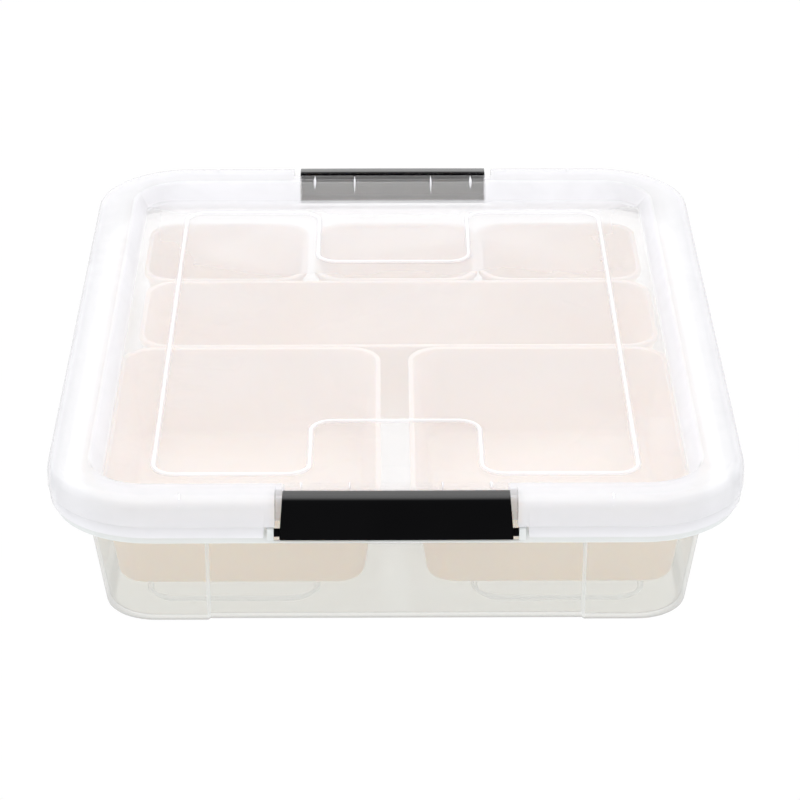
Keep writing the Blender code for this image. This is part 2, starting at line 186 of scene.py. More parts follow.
def filleted(corners, steps=FILLET_STEPS):
    """Each inner corner becomes an arc that touches both its sides r / tan(a / 2) from the
    corner, with a the angle between the sides, read along the arc by great-circle weights.
    A radius that doesn't fit is cut to 45% of the shorter side."""
    corners = np.asarray(corners, float)
    spot, radius = corners[:, :2], corners[1:-1, 2]
    to_last, to_next = spot[:-2] - spot[1:-1], spot[2:] - spot[1:-1]
    room = 0.45 * np.minimum(np.linalg.norm(to_last, axis=1), np.linalg.norm(to_next, axis=1))
    to_last, to_next = unit(to_last), unit(to_next)
    angle = np.arccos(np.clip((to_last * to_next).sum(1), -1.0, 1.0))
    touch = np.minimum(radius / np.tan(angle / 2), room)
    radius = touch * np.tan(angle / 2)
    centre = spot[1:-1] + unit(to_last + to_next) * (radius / np.sin(angle / 2))[:, None]
    first = spot[1:-1] + to_last * touch[:, None] - centre
    last = spot[1:-1] + to_next * touch[:, None] - centre
    sweep = np.maximum(math.pi - angle, 1e-4)[:, None, None]
    share = np.linspace(0.0, 1.0, steps + 1)[None, :, None]
    arc = (np.sin((1 - share) * sweep) * first[:, None] + np.sin(share * sweep) * last[:, None])
    arc = centre[:, None] + arc / np.sin(sweep)
    return np.vstack([spot[:1], arc.reshape(-1, 2), spot[-1:]])


def stations_round_box(end_marks, side_marks=5):
    """The places along a rounded rectangle at which a section is set, counter-clockwise from the
    front right corner.  Columns: the signs of the corner's centre, the angle of the outward
    direction, and the fixed X or Y of a place on a straight stretch (nan where it has none)."""
    marks = np.asarray(end_marks, float)
    across = np.concatenate([marks, -marks[::-1]])
    along = np.linspace(-0.12, 0.12, side_marks) * 1000.0
    quarter = np.linspace(0.0, math.pi / 2, ARC_STEPS + 1)
    rows = []

    def add(sign_x, sign_y, angle, fixed_x=np.nan, fixed_y=np.nan):
        """Adds one stretch of places, spreading single values over all of them."""
        block = np.zeros((np.size(angle + 0 * fixed_x + 0 * fixed_y), 5))
        block[:] = np.stack(np.broadcast_arrays(sign_x, sign_y, angle, fixed_x, fixed_y), -1)
        rows.append(block)

    add(1, -1, quarter - math.pi / 2)
    add(1, 1, 0.0, fixed_y=along)
    add(1, 1, quarter)
    add(-1, 1, math.pi / 2, fixed_x=across)
    add(-1, 1, quarter + math.pi / 2)
    add(-1, -1, math.pi, fixed_y=-along)
    add(-1, -1, quarter + math.pi)
    add(1, -1, -math.pi / 2, fixed_x=-across)
    return np.vstack(rows)


def carry_round_box(stations, inset, height, radius, shift_x=0.0):
    """Grid of points: the section (inset, height) of each station stands at the centre of its
    corner's arc plus the radius in the outward direction.  All arrays are stations x points."""
    sign_x, sign_y, angle, fixed_x, fixed_y = (column[:, None] for column in stations.T)
    x = sign_x * (WIDTH / 2 - inset - radius) + radius * np.cos(angle)
    y = sign_y * (DEPTH / 2 - inset - radius) + radius * np.sin(angle)
    x = np.where(np.isnan(fixed_x), x, fixed_x + shift_x)
    y = np.where(np.isnan(fixed_y), y, fixed_y)
    return np.stack([x, y, RIM_TOP + height + 0 * x], -1) * MM


def ring_faces(rows, columns, start=0, closed_columns=False):
    """Quads of a grid whose rows run round a loop and join up."""
    row = np.arange(rows)[:, None]
    column = np.arange(columns if closed_columns else columns - 1)[None]
    one = start + row * columns + column
    two = start + (row + 1) % rows * columns + column
    three = start + (row + 1) % rows * columns + (column + 1) % columns
    four = start + row * columns + (column + 1) % columns
    return np.stack([one, two, three, four], -1).reshape(-1, 4)


def build_piece(name, sheets, fills=(), finishes=(), milk_and_painted_light=(), thick_and_painted_shade=(), smooth_angle=30.0):
    """Joins grids of points into one mesh object.  A sheet is a grid that runs round a loop along
    its rows, or a pair of one with True where its columns close too.  A fill is a list of
    (sheet, column) loops that bound one flat area.  milk gives, for each sheet, how cloudy the
    plastic looks at each column, or one value for all of it, in places raised as painted light:
    a painted highlight on the lid's bead and down the tub's front steps, and painted light on the
    lid's rear margin.  thick gives how long a way the light takes through it, from 0 to 1, which
    darkens what is seen through; along the tub's foot and floor steps it is painted shade."""
    points, faces, starts = [], [], []
    count = 0
    spread = {"milk_and_painted_light": [], "thick_and_painted_shade": []}
    for index, sheet in enumerate(sheets):
        grid, closed = sheet if isinstance(sheet, tuple) else (sheet, False)
        for key, values in (("milk_and_painted_light", milk_and_painted_light), ("thick_and_painted_shade", thick_and_painted_shade)):
            value = values[index] if index < len(values) else 0.0
            spread[key].append(np.broadcast_to(value, grid.shape[:2]).ravel())
        rows, columns = grid.shape[:2]
        starts.append((count, rows, columns))
        faces.append(ring_faces(rows, columns, count, closed))
        points.append(grid.reshape(-1, 3))
        count += rows * columns
    mesh = bpy.data.meshes.new(name)
    mesh.from_pydata(np.vstack(points), [], np.vstack(faces).tolist())
    for key, values in spread.items() if len(milk_and_painted_light) else ():
        mesh.attributes.new(key, "FLOAT", "POINT").data.foreach_set("value", np.concatenate(values))
    work = bmesh.new()
    work.from_mesh(mesh)
    work.verts.ensure_lookup_table()
    for loops in fills:
        edges = []
        for sheet, column in loops:
            start, rows, columns = starts[sheet]
            ring = [start + row * columns + column % columns for row in range(rows)]
            corners = [work.verts[index] for index in ring]
            pairs = zip(corners, corners[1:] + corners[:1])
            edges += [work.edges.get(pair) for pair in pairs]
        bmesh.ops.triangle_fill(work, use_beauty=True, edges=edges)
    bmesh.ops.recalc_face_normals(work, faces=work.faces[:])
    work.to_mesh(mesh)
    work.free()
    mesh.shade_smooth()
    mesh.set_sharp_from_angle(angle=math.radians(smooth_angle))
    for finish in finishes:
        mesh.materials.append(finish)
    piece = bpy.data.objects.new(name, mesh)
    bpy.context.collection.objects.link(piece)
    return piece


# The I-shaped outline shared by the tub's floor and the lid's bead
I_HALF, I_FRONT, I_REAR = 117.4, -168.0, 172.0
NOTCH_HALF, NOTCH_FRONT, NOTCH_REAR = 41.8, -107.8, 99.0
I_RADIUS = 11.0
I_STEP = 1.5                         # height of the step in the tub's floor


def i_outline(grow):
    """The I's outline, moved outwards by grow: twelve quarter circles, whose radius grows by grow
    on the outer corners and shrinks by it on the inner ones, joined by straight stretches.
    Returns places x grows x 2."""
    grow = np.asarray(grow, float)[None]
    half, notch = I_HALF, NOTCH_HALF
    # corner X, corner Y, first angle, last angle, and 1 for an outer or -1 for an inner corner
    corners = np.array([
        (half, I_FRONT, -90, 0, 1), (half, I_REAR, 0, 90, 1), (notch, I_REAR, 90, 180, 1),
        (notch, NOTCH_REAR, 0, -90, -1), (-notch, NOTCH_REAR, -90, -180, -1),
        (-notch, I_REAR, 0, 90, 1), (-half, I_REAR, 90, 180, 1), (-half, I_FRONT, 180, 270, 1),
        (-notch, I_FRONT, -90, 0, 1), (-notch, NOTCH_FRONT, 180, 90, -1),
        (notch, NOTCH_FRONT, 90, 0, -1), (notch, I_FRONT, 180, 270, 1)], float)
    share = np.linspace(0.0, 1.0, 9)
    angle = np.radians(corners[:, 2:3] + (corners[:, 3:4] - corners[:, 2:3]) * share)
    middle = np.radians((corners[:, 2] + corners[:, 3]) / 2)[:, None]
    side_x, side_y = np.sign(np.cos(middle)), np.sign(np.sin(middle))
    centre_x = (corners[:, :1] - side_x * I_RADIUS + 0 * share).reshape(-1, 1)
    centre_y = (corners[:, 1:2] - side_y * I_RADIUS + 0 * share).reshape(-1, 1)
    radius = I_RADIUS + (corners[:, 4:5] + 0 * share).reshape(-1, 1) * grow
    angle = angle.reshape(-1, 1)
    return np.stack([centre_x + radius * np.cos(angle), centre_y + radius * np.sin(angle)], -1)


def carry_round_i(section):
    """A section of (grow, height) points run round the I's outline."""
    section = np.asarray(section, float)
    flat = i_outline(section[:, 0])
    high = np.broadcast_to(RIM_TOP + section[:, 1], flat.shape[:2])
    return np.concatenate([flat, high[..., None]], -1) * MM


def tub_wall_inset(height):
    """The outer face of the wall: its inset at the table, less the height times the lean."""
    return WALL_AT_TABLE - (height + RIM_TOP) * WALL_LEAN


def tub_sections():
    """Two sections with the same number of corners: the whole one, and the one behind a clip,
    where the flange is cut back and has no apron."""
    skin = TUB_WALL * math.hypot(1.0, WALL_LEAN)
    foot, floor = -RIM_TOP, TUB_WALL - RIM_TOP
    low, high = END_RAMP
    start = [
        (31.5, foot, 0), (WALL_AT_TABLE, foot, FOOT_FILLET),
        (tub_wall_inset(low), low, 0.8), (tub_wall_inset(high), high, 0.8),
        (tub_wall_inset(FLANGE_UNDER), FLANGE_UNDER, 1.2),
    ]
    apron = [
        (APRON_INNER, FLANGE_UNDER, 1.3), (APRON_INNER, APRON_BOTTOM, 0.5),
        (APRON_OUTER, APRON_BOTTOM, 0.5), (APRON_OUTER, FLANGE_TOP, 2.0),
    ]
    edge = [
        (BAY_CUT_EDGE, FLANGE_UNDER, 0.3), (BAY_CUT_EDGE, -5.2, 0.05),
        (BAY_CUT_EDGE, -4.6, 0.05), (BAY_CUT_EDGE, FLANGE_TOP, 0.5),
    ]
    end = [
        (tub_wall_inset(FLANGE_TOP) + skin, FLANGE_TOP, 0.8), (tub_wall_inset(high) + skin, high, 0.8),
        (tub_wall_inset(low) + skin, low, 0.8), (tub_wall_inset(floor) + skin, floor, FOOT_FILLET),
        (34.0, floor, 0),
    ]
    return filleted(start + apron + end), filleted(start + edge + end)


def tub_radius(inset):
    """Plan radius: concentric with the lid over the flange's edge, tighter round the wall."""
    wall = WALL_CORNER - 0.45 * (inset - 15.2)
    rim = OUTLINE_RADIUS - inset
    blend = np.clip((inset - 5.5) / 8.0, 0.0, 1.0)
    return rim * (1 - blend) + np.minimum(wall, rim + 20.0) * blend


def ear(side, facing):
    """A lug with a round bore: for each angle round the bore, a section that runs from the bore
    out to a rounded square and back.  side is the sign of X, facing that of Y."""
    angle = np.linspace(0.0, 2 * math.pi, 49)[:-1][:, None]
    across = np.array([0.0, 0.0, 0.5, 2.7, 3.2, 3.2, 3.2, 0.0])[None] + EAR_START + 0 * angle
    square = EAR_REACH / (np.abs(np.cos(angle)) ** 5 + np.abs(np.sin(angle)) ** 5) ** 0.2
    part = np.array([0.0, 0.85, 1.0, 1.0, 0.85, 0.0, 0.0, 0.0])[None]
    reach = EAR_BORE + (square - EAR_BORE) * part
    inset = PIVOT[0] + reach * np.cos(angle)
    height = PIVOT[1] + reach * np.sin(angle)
    grid = np.stack([side * across, facing * (DEPTH / 2 - inset), RIM_TOP + height], -1)
    return grid[:, :6] * MM, True


CLEAR_MILK, EAR_MILK = 0.13, 0.6     # cloudiness of the clear walls, and of the ears and strips
FLOOR_THICK = 0.08


def recess_places(count):
    """Five equal steps along a section of count points."""
    return np.rint(np.linspace(0, 4, count)).astype(int)


def at_foot(inset, height):
    """One along the rounded foot, falling off above and below it as a bell curve 1.6 mm wide."""
    return np.exp(-((height + RIM_TOP - 0.6) / 1.6) ** 2) * (inset < 30.5)


def tub_milk_and_painted_light(inset, height, half, front):
    """Clear walls and floor, cloudier in the flange and apron and along the lower edge of the apron,
    and clearer along the foot, where with its darker tint it paints a dark line as painted shade.
    Down the two steps beside each set-back panel it is cloudier, much more at the front than at
    the back: a painted highlight, a light line down each step."""
    flange = np.clip((15.0 - inset) / 4.0, 0.0, 1.0)
    hem = np.exp(-((height - APRON_BOTTOM) / 0.7) ** 2) * flange
    on_wall = (height < -6.0) & (inset > 12.0) & (inset < 29.5)
    step = (np.abs(half[:, None] - END_PANEL_HALF) < 1.0) & on_wall
    # The steps beside each end panel are made cloudier, much more at the front: a painted highlight, a
    # light line down each step.
    step_painted_highlight = np.where(front[:, None], 0.32, 0.05)
    cloudy = CLEAR_MILK + 0.17 * flange + 0.6 * hem + step_painted_highlight * step
    # The foot is made clearer, which with its darker tint paints a dark line along it: painted shade.
    return cloudy * (1.0 - 0.8 * at_foot(inset, height))


def tub_thick_and_painted_shade(inset, height):
    """How long a way light takes, which darkens what is seen through: longest in the foot, where
    it is painted shade, a dark line along it, some in the apron, a little in the floor.
    """
    apron = np.clip((6.0 - inset) / 2.0, 0.0, 1.0)
    return at_foot(inset, height) + FLOOR_THICK * (inset > 31.0) + 0.3 * apron


def strip_under_clip(facing):
    """The lowest edge of the apron, which runs on under the clip: a rounded rectangle carried
    straight along X, with its ends just inside the apron."""
    top = APRON_BOTTOM + STRIP_HEIGHT
    corners = [(APRON_OUTER, APRON_BOTTOM, 0.5), (APRON_OUTER, top, 0.5),
               (APRON_INNER, top, 0.5), (APRON_INNER, APRON_BOTTOM, 0.5)]
    section = filleted([corners[-1]] + corners + [corners[0]])[1:-1]
    x = np.array([-1.0, 0.0, 1.0]) * (BAY_CUT_HALF + 0.5) + 0 * section[:, :1]
    y = facing * (DEPTH / 2 - section[:, :1]) + 0 * x
    return np.stack([x, y, RIM_TOP + section[:, 1:] + 0 * x], -1) * MM


def make_tub(finish):
    """The wall's section carried round the box, set back over the end panels, with the floor's
    two I-shaped steps, four ears and two strips."""
    marks = [END_PANEL_HALF + 1.1, END_PANEL_HALF + 0.6, END_PANEL_HALF - 0.6, END_PANEL_HALF - 1.1,
             BAY_CUT_HALF + 0.25, BAY_CUT_HALF - 0.25, 30.0, 10.0]
    stations = stations_round_box(marks)
    whole, cut = tub_sections()
    half = np.abs(stations[:, 3])
    at_end = ~np.isnan(stations[:, 3])
    is_cut = (at_end & (half < BAY_CUT_HALF))[:, None]
    inset = np.where(is_cut, cut[None, :, 0], whole[None, :, 0])
    height = np.where(is_cut, cut[None, :, 1], whole[None, :, 1])
    radius = tub_radius(inset)
    # the end panels are set back below a ramp, between two upright steps
    low, high = END_RAMP
    below = np.clip((high - height) / (high - low), 0.0, 1.0)
    within = np.clip((END_PANEL_HALF + 0.6 - half) / 1.2, 0.0, 1.0)
    within = np.where(at_end, within, 0.0)[:, None]
    on_wall = (inset > 15.5)
    grid = carry_round_box(stations, inset, height, radius)
    grid[..., 1] -= np.sign(grid[..., 1]) * END_PANEL_DEPTH * MM * within * below * on_wall
    foot, floor = -RIM_TOP, TUB_WALL - RIM_TOP
    recess = filleted([(4.0, foot, 0), (2.2, foot, 0.4),
                       (1.9, foot + I_STEP, 0.4), (0.0, foot + I_STEP, 0)])
    pad = filleted([(6.0, floor, 0), (4.3, floor, 0.7),
                    (3.7, floor + I_STEP, 0.6), (2.0, floor + I_STEP, 0)])
    sheets = [grid, carry_round_i(recess), carry_round_i(pad)]
    fills = [[(0, 0), (1, 0)], [(1, -1)], [(0, -1), (2, 0)], [(2, -1)]]
    for facing in (-1, 1):
        for side in (-1, 1):
            sheets.append(ear(side, facing))
    for facing in (-1, 1):
        sheets.append(strip_under_clip(facing))
        fills += [[(len(sheets) - 1, 0)], [(len(sheets) - 1, -1)]]
    edge = np.array([0.0, 1.0, 1.0, 1.0, 0.0])
    under, over = edge[recess_places(len(recess))], edge[recess_places(len(pad))]
    milk_and_painted_light = [tub_milk_and_painted_light(inset, height, half, stations[:, 1] < 0)]
    milk_and_painted_light += [CLEAR_MILK + 0.15 * under, CLEAR_MILK + 0.15 * over] + [EAR_MILK] * 6
    # The floor's two steps get a darker tint too: painted shade, a dark line along each.
    thick_and_painted_shade = [tub_thick_and_painted_shade(inset, height), FLOOR_THICK + 0.2 * under, FLOOR_THICK + 0.2 * over]
    tub = build_piece("clear_tub", sheets, fills, [finish], milk_and_painted_light, thick_and_painted_shade)
    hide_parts("tub")
    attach(tub, "tub")
    return tub


def clear_plastic(name, body_colour, tint, gloss_roughness, seed):
    """Milky clear polypropylene: light passes straight on with a slight tint, darker where the
    thick attribute is high, as painted shade; the share that the milk attribute gives is
    scattered in the plastic, more where flow lines run, and the skin is glossy."""
    finish = bpy.data.materials.new(name)
    finish.use_nodes = True
    nodes, links = finish.node_tree.nodes, finish.node_tree.links
    nodes.clear()
    output = nodes.new("ShaderNodeOutputMaterial")
    place = nodes.new("ShaderNodeTexCoord")
    flow = nodes.new("ShaderNodeTexNoise")
    shader_input(flow, "Scale", 9.0)
    shader_input(flow, "Detail", 4.0)
    shader_input(flow, "Distortion", 1.2)
    centre = nodes.new("ShaderNodeMapping")
    centre.inputs["Location"].default_value = (seed, seed * 0.37, 0.0)
    cloudy = nodes.new("ShaderNodeMapRange")
    shader_input(cloudy, "From Min", 0.3)
    shader_input(cloudy, "From Max", 0.7)
    shader_input(cloudy, "To Min", 0.9)
    shader_input(cloudy, "To Max", 1.1)
    milk_and_painted_light = nodes.new("ShaderNodeAttribute")
    milk_and_painted_light.attribute_name = "milk_and_painted_light"
    share = nodes.new("ShaderNodeMath")
    share.operation = "MULTIPLY"
    share.use_clamp = True
    grain = nodes.new("ShaderNodeTexNoise")
    shader_input(grain, "Scale", 260.0)
    shader_input(grain, "Detail", 2.0)
    skin = nodes.new("ShaderNodeBump")
    shader_input(skin, "Strength", 0.05)
    shader_input(skin, "Distance", 0.0002)
    through = nodes.new("ShaderNodeBsdfTransparent")
    # The through tint turns darker where the thick attribute is high: painted shade, dark lines along
    # the tub's foot and floor steps, only partly the longer way through the plastic.
    passed_tint_and_painted_shade = nodes.new("ShaderNodeMix")
    passed_tint_and_painted_shade.data_type = "RGBA"
    passed_tint_and_painted_shade.inputs["A"].default_value = tint
    passed_tint_and_painted_shade.inputs["B"].default_value = [0.72 * part for part in tint[:3]] + [1.0]
    thick_and_painted_shade = nodes.new("ShaderNodeAttribute")
    thick_and_painted_shade.attribute_name = "thick_and_painted_shade"
    links.new(thick_and_painted_shade.outputs["Fac"], passed_tint_and_painted_shade.inputs["Factor"])
    links.new(passed_tint_and_painted_shade.outputs["Result"], through.inputs["Color"])
    body = nodes.new("ShaderNodeBsdfPrincipled")
    shader_input(body, "Base Color", body_colour)
    shader_input(body, "Roughness", 0.5)
    shader_input(body, "Specular IOR Level", 0.0)
    gloss = nodes.new("ShaderNodeBsdfGlossy")
    shader_input(gloss, "Roughness", gloss_roughness)
    facing = nodes.new("ShaderNodeLayerWeight")
    shader_input(facing, "Blend", 0.5)
    fifth = nodes.new("ShaderNodeMath")
    fifth.operation = "POWER"
    shader_input(fifth, 1, 5.0)
    mirror = nodes.new("ShaderNodeMapRange")
    shader_input(mirror, "To Min", 0.03)
    shader_input(mirror, "To Max", 0.75)
    milky = nodes.new("ShaderNodeMixShader")
    shiny = nodes.new("ShaderNodeMixShader")
    links.new(place.outputs["Object"], centre.inputs["Vector"])
    links.new(centre.outputs["Vector"], flow.inputs["Vector"])
    links.new(place.outputs["Object"], grain.inputs["Vector"])
    links.new(grain.outputs["Fac"], skin.inputs["Height"])
    links.new(skin.outputs["Normal"], gloss.inputs["Normal"])
    links.new(flow.outputs["Fac"], cloudy.inputs["Value"])
    links.new(cloudy.outputs["Result"], share.inputs[0])
    links.new(milk_and_painted_light.outputs["Fac"], share.inputs[1])
    links.new(share.outputs["Value"], milky.inputs["Fac"])
    links.new(through.outputs["BSDF"], milky.inputs[1])
    links.new(body.outputs["BSDF"], milky.inputs[2])
    links.new(facing.outputs["Facing"], fifth.inputs[0])
    links.new(fifth.outputs["Value"], mirror.inputs["Value"])
    links.new(mirror.outputs["Result"], shiny.inputs["Fac"])
    links.new(milky.outputs["Shader"], shiny.inputs[1])
    links.new(gloss.outputs["BSDF"], shiny.inputs[2])
    links.new(shiny.outputs["Shader"], output.inputs["Surface"])
    return finish


TUB_BODY = (0.92, 0.95, 0.955, 1.0)
TUB_TINT = (0.971, 0.968, 0.952, 1.0)
tub = make_tub(clear_plastic("tub_milky_plastic", TUB_BODY, TUB_TINT, 0.12, 0.0))

# ------------------------------------------------------------------ lid
# The clear top moulding.  A rounded rim with a hanging skirt runs all round a sunken panel, and
# a round bead in the same I outline as the tub's floor stands on the panel.  At both ends the
# rim is cut back into a bay for the clip, deeper in its middle.

PANEL_TOP = -11.5
LID_SKIN = 1.7
EAR_NOTCH_HALF = 62.3
BAY_HALF = 56.9
DEEP_HALF = 46.5
BAY_FOOT = -14.9
CLEAR_HALF = 54.0                    # the bay's walls are clear behind the clip
SKIRT_FOOT = -21.0


def lid_sections():
    """Four sections with the same number of corners, from the underside of the panel out, over
    the rim's edge and back to the panel: whole rim, rim with a short skirt beside the tub's
    ears, clip bay, and the deeper middle of the bay."""
    start = [(29.0, PANEL_TOP - LID_SKIN, 0), (25.2, PANEL_TOP - LID_SKIN, 3.0), (19.3, -3.07, 0.9)]
    end = [(20.4, -1.5, 2.4), (26.2, PANEL_TOP, 1.8), (29.0, PANEL_TOP, 0)]
    rim = [
        (8.0, -1.75, 3.0), (1.75, -1.75, 5.3), (1.75, -10.0, 0.5), (1.95, -14.9, 0.5),
        (2.65, SKIRT_FOOT, 0.4), (1.05, SKIRT_FOOT, 0.4), (0.45, -15.25, 0.12), (0.0, -14.75, 0.2),
        (0.0, 0.1, 7.0), (12.5, -0.3, 20.0),
    ]
    short = [
        (8.0, -1.75, 3.0), (1.75, -1.75, 5.3), (1.75, -8.0, 0.5), (1.75, -12.0, 0.5),
        (1.75, BAY_FOOT, 0.4), (0.0, BAY_FOOT, 0.4), (0.0, -13.8, 0.1), (0.0, -13.0, 0.1),
        (0.0, 0.1, 7.0), (12.5, -0.3, 20.0),
    ]
    bay = [
        (13.9, -2.3, 0.5), (13.0, -5.6, 0.9), (10.7, -5.6, 0.9), (8.7, -10.5, 0.8),
        (8.7, BAY_FOOT, 0.4), (7.0, BAY_FOOT, 0.4), (7.0, -10.2, 0.8), (9.6, -3.9, 0.4),
        (11.6, -3.9, 0.4), (12.5, -0.8, 0.6),
    ]
    deep = [
        (14.1, -2.3, 0.5), (12.8, -7.6, 0.9), (10.6, -7.6, 0.9), (9.4, -10.6, 0.8),
        (9.4, BAY_FOOT, 0.4), (7.7, BAY_FOOT, 0.4), (7.7, -10.2, 0.8), (9.5, -5.9, 0.4),
        (11.3, -5.9, 0.4), (12.5, -0.8, 0.6),
    ]
    return np.stack([filleted(start + middle + end) for middle in (rim, short, bay, deep)])


def lid_radius(inset):
    """Plan radius: concentric with the outline over the rim, tighter down to the panel."""
    return OUTLINE_RADIUS - inset - np.maximum(0.0, inset - 18.0) * 1.2


def rim_tick(side, facing):
    """A small raised tick that runs over the rim's edge: a half-round strip along the rim's arc.
    Rows go round the strip's section, columns along it, drawn in to a point at both ends."""
    along = np.linspace(0.0, 1.0, 13)[None]
    round_it = np.linspace(0.0, 2 * math.pi, 13)[:-1][:, None]
    angle = np.radians(100.0 + 62.0 * along)
    swell = np.sqrt(np.clip(1.0 - (2.0 * along - 1.0) ** 4, 0.0, 1.0)) + 0.001
    reach = 7.0 + 0.35 * swell * np.sin(round_it) + 0.05
    x = side * 101.6 + 0.55 * swell * np.cos(round_it)
    inset = 7.0 + reach * np.cos(angle)
    height = -6.9 + reach * np.sin(angle)
    grid = np.stack([x + 0 * inset, facing * (DEPTH / 2 - inset), RIM_TOP + height], -1)
    return grid * MM


def bay_rib(at_x, half_width, foot_height, facing):
    """A low rib that runs from the edge of a clip bay over the rim and a little way down the
    plug.  Rows go round its half-round section, columns along it."""
    foot = (20.4 - (foot_height + 1.5) * 0.58, foot_height, 0)
    path = filleted([(12.9, -0.9, 0), (20.4, -1.5, 2.4), foot], 8)
    along = np.linspace(0.0, 1.0, len(path))
    direction = unit(np.gradient(path, axis=0))
    normal = np.stack([-direction[:, 1], direction[:, 0]], -1)
    round_it = np.linspace(0.0, 2 * math.pi, 17)[:-1][:, None]
    swell = np.clip(np.minimum(along, 1 - along) * 12.0, 0.02, 1.0)[None]
    lift = 0.6 * swell * np.sin(round_it)
    inset = path[None, :, 0] + normal[None, :, 0] * lift
    height = path[None, :, 1] + normal[None, :, 1] * lift
    x = at_x + half_width * swell * np.cos(round_it)
    return np.stack([x + 0 * inset, facing * (DEPTH / 2 - inset), RIM_TOP + height], -1) * MM


PANEL_MILK, TICK_MILK, RIB_MILK = 0.24, 0.9, 0.6


def lid_milk_and_painted_light(inset, height, half, rear):
    """A clear panel, a cloudier plug, rim and skirt, clear walls in the clip bays, and bright
    edges along the foot of the skirt.  The panel's rear margin is made cloudier too, and so
    lighter: painted light from behind, shining through the rim."""
    plug = np.clip((26.5 - inset) / 2.0, 0.0, 1.0) * np.clip((inset - 19.0) / 2.0, 0.0, 1.0)
    rim = np.clip((20.5 - inset) / 3.0, 0.0, 1.0)
    skirt = np.clip((5.0 - inset) / 4.0, 0.0, 1.0)
    hem = np.exp(-((height - SKIRT_FOOT) / 0.6) ** 2)
    behind_clip = np.clip((CLEAR_HALF - half[:, None]) / 1.5, 0.0, 1.0)
    in_bay = behind_clip * np.clip((27.0 - inset) / 1.5, 0.0, 1.0)
    ledge = np.exp(-((height - BAY_FOOT) / 0.5) ** 2) * (inset < 1.0)
    # The rear margin is made cloudier, and so lighter: painted light, standing in for light from behind
    # that shines through the rim.
    rear_painted_backlight = 0.2 * rear[:, None] * (inset > 25.0)
    edges = 0.12 * skirt + 0.35 * hem + 0.1 * ledge
    cloudy = PANEL_MILK + 0.45 * plug + 0.08 * rim + edges + rear_painted_backlight
    return cloudy * (1 - in_bay) + 0.02 * in_bay


def make_lid(finish):
    """The rim's sections carried round the box, with the bead, four ticks and eight ribs."""
    marks = [BAY_HALF + 44.0, EAR_NOTCH_HALF + 0.25, EAR_NOTCH_HALF - 0.25,
             BAY_HALF + 0.2, BAY_HALF - 0.2, CLEAR_HALF, CLEAR_HALF - 1.5,
             DEEP_HALF + 0.6, DEEP_HALF - 0.6, 30.0, 10.0]
    stations = stations_round_box(marks)
    sections = lid_sections()
    half = np.where(np.isnan(stations[:, 3]), 999.0, np.abs(stations[:, 3]))
    which = (half < EAR_NOTCH_HALF).astype(int) + (half < BAY_HALF) + (half < DEEP_HALF)
    inset, height = sections[which, :, 0], sections[which, :, 1]
    # the inner faces of the bay's end walls lie one skin further out than the outer ones
    count = sections.shape[1]
    corner = (np.arange(count) - 1) / (FILLET_STEPS + 1)
    inner = np.clip(7.5 - corner, 0.0, 1.0)[None]
    near_wall = (np.abs(half - BAY_HALF) < 0.3)[:, None]
    shift = np.where(near_wall, LID_SKIN * np.sign(np.nan_to_num(stations[:, 3:4])), 0.0) * inner
    grid = carry_round_box(stations, inset, height, lid_radius(inset), shift)
    bead = filleted([(2.0, PANEL_TOP, 0), (1.0, PANEL_TOP, 0.3), (0.8, PANEL_TOP + 1.05, 0.8),
                     (-0.8, PANEL_TOP + 1.05, 0.8), (-1.0, PANEL_TOP, 0.3), (-2.0, PANEL_TOP, 0)], 5)
    sheets = [grid, carry_round_i(bead)]
    fills = [[(0, 0)], [(0, -1), (1, 0)], [(1, -1)]]
    for facing in (-1, 1):
        for side in (-1, 1):
            sheets.append(rim_tick(side, facing))
            fills += [[(len(sheets) - 1, 0)], [(len(sheets) - 1, -1)]]
            for at_x, half_width, foot in ((45.0, 0.8, -5.5), (22.0, 0.55, -8.0)):
                sheets.append(bay_rib(side * at_x, half_width, foot, facing))
                fills += [[(len(sheets) - 1, 0)], [(len(sheets) - 1, -1)]]
    # The bead's crown is made cloudier, and so lighter, than its foot: a painted highlight, the lamp's
    # reflection running along the bead.
    middle = 1.0 - np.abs(np.linspace(-1.0, 1.0, len(bead))) ** 3
    rear = np.sin(stations[:, 2]) > 0.3
    milk_and_painted_light = [lid_milk_and_painted_light(inset, height, half, rear), PANEL_MILK + 0.45 * middle]
    milk_and_painted_light += [TICK_MILK, RIB_MILK, RIB_MILK] * 4
    lid = build_piece("clear_lid", sheets, fills, [finish], milk_and_painted_light)
    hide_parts("lid")
    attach(lid, "lid")
    return lid


LID_BODY = (0.93, 0.93, 0.965, 1.0)
LID_TINT = (0.99, 0.985, 0.985, 1.0)
lid = make_lid(clear_plastic("lid_milky_plastic", LID_BODY, LID_TINT, 0.10, 3.1))

# ------------------------------------------------------------------ clips
# Two equal black latches.  Each is one moulding: a slightly crowned plate with a rounded shoulder
# and a hook at its top, a hinge barrel along its foot and two round pins that snap into the ears.

CLIP_HALF = 55.0
CLIP_DRAW_IN = 1.6
LIP_HALF = 45.5
CLIP_CROWN = 0.25
DEEP_BLACK = (0.0022, 0.0022, 0.0026, 1.0)
BLACK = (0.0034, 0.0034, 0.0038, 1.0)
PIN_RADIUS, PIN_START, PIN_END = 2.0, 53.5, 59.4


